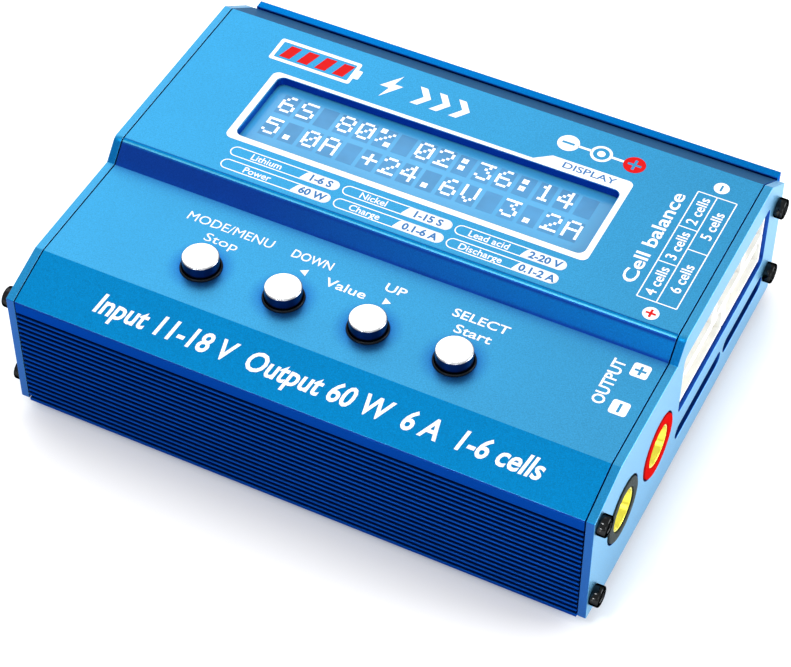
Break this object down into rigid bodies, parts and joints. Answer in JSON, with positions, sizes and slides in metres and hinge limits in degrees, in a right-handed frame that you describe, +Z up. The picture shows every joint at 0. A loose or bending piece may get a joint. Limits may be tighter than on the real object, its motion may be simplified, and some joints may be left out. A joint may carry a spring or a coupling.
{
  "type": "balance battery charger",
  "caption": "Desktop battery balance charger: stepped blue metal case on feet, with a window display, press buttons, balance and output sockets, power inlet and fan.",
  "frame": {"origin": "on the surface the charger stands on, under the middle of its bounding box", "axes": "+X to the right along the front, towards the output and balance sockets; +Y from the user to the rear; +Z up"},
  "size_m": [0.105, 0.082, 0.0322],
  "materials": {
    "anodised_blue": "fine bead-blasted satin, blue anodised",
    "screw_black": "black oxide, slightly oily sheen",
    "button_silver": "satin silver with a polished rounded edge",
    "black_plastic": "semi-gloss moulded",
    "red_plastic": "semi-gloss moulded",
    "ivory_plastic": "natural nylon, matt",
    "gold_contact": "bright gold plating",
    "foot_rubber": "matt",
    "circuit_board": "green solder mask",
    "display_glass": "glossy glass over a blue character display",
    "backlight_white": "diffuse white light guide",
    "copper_winding": "enamelled copper winding",
    "plain_steel": "tinned",
    "plain_aluminium": "bare can"
  },
  "bodies": {
    "case": {"top_cover": "anodised_blue", "base_tray": "anodised_blue", "left_end_plate": "anodised_blue", "right_end_plate": "anodised_blue", "left_screw_front_top": "screw_black", "left_screw_front_bottom": "screw_black", "left_screw_rear_top": "screw_black", "left_screw_rear_bottom": "screw_black", "right_screw_front_top": "screw_black", "right_screw_front_bottom": "screw_black", "right_screw_rear_top": "screw_black", "right_screw_rear_bottom": "screw_black", "foot_front_left": "foot_rubber", "foot_front_right": "foot_rubber", "foot_rear_left": "foot_rubber", "foot_rear_right": "foot_rubber", "display_glass": "display_glass", "display_backlight": "backlight_white", "display_board": "circuit_board", "board_link_header": "black_plastic", "stop_button_collar": "black_plastic", "stop_switch_body": "plain_steel", "decrease_button_collar": "black_plastic", "decrease_switch_body": "plain_steel", "increase_button_collar": "black_plastic", "increase_switch_body": "plain_steel", "start_button_collar": "black_plastic", "start_switch_body": "plain_steel", "main_board": "circuit_board", "balance_board": "circuit_board", "power_inductor": "copper_winding", "input_capacitor": "plain_aluminium", "output_capacitor": "plain_aluminium", "microcontroller": "black_plastic", "buzzer": "black_plastic", "charge_transistor": "black_plastic", "discharge_transistor": "black_plastic", "balance_socket_6s": "ivory_plastic", "balance_socket_5s": "ivory_plastic", "balance_socket_4s": "ivory_plastic", "balance_socket_3s": "ivory_plastic", "balance_socket_2s": "ivory_plastic", "output_insulator_negative": "black_plastic", "output_insulator_positive": "red_plastic", "output_contact_negative": "gold_contact", "output_contact_positive": "gold_contact", "power_jack": "black_plastic", "power_jack_pin": "plain_steel", "usb_port": "plain_steel", "temperature_port": "ivory_plastic", "fan_frame": "black_plastic"},
    "stop_button": {"stop_button_cap": "button_silver", "stop_switch_plunger": "black_plastic"},
    "decrease_button": {"decrease_button_cap": "button_silver", "decrease_switch_plunger": "black_plastic"},
    "increase_button": {"increase_button_cap": "button_silver", "increase_switch_plunger": "black_plastic"},
    "start_button": {"start_button_cap": "button_silver", "start_switch_plunger": "black_plastic"},
    "fan_rotor": {"fan_rotor": "black_plastic"}
  },
  "joints": [
    {"name": "stop_button_press", "type": "slide", "parent": "case", "child": "stop_button", "axis": [0, 0, -1], "range_m": [0, 0.0003], "stiffness_N_per_m": 3000},
    {"name": "decrease_button_press", "type": "slide", "parent": "case", "child": "decrease_button", "axis": [0, 0, -1], "range_m": [0, 0.0003], "stiffness_N_per_m": 3000},
    {"name": "increase_button_press", "type": "slide", "parent": "case", "child": "increase_button", "axis": [0, 0, -1], "range_m": [0, 0.0003], "stiffness_N_per_m": 3000},
    {"name": "start_button_press", "type": "slide", "parent": "case", "child": "start_button", "axis": [0, 0, -1], "range_m": [0, 0.0003], "stiffness_N_per_m": 3000},
    {"name": "fan_spin", "type": "hinge", "parent": "case", "child": "fan_rotor", "pos_m": [-0.0462, 0.0146, 0.0167], "axis": [1, 0, 0], "continuous": true}
  ]
}
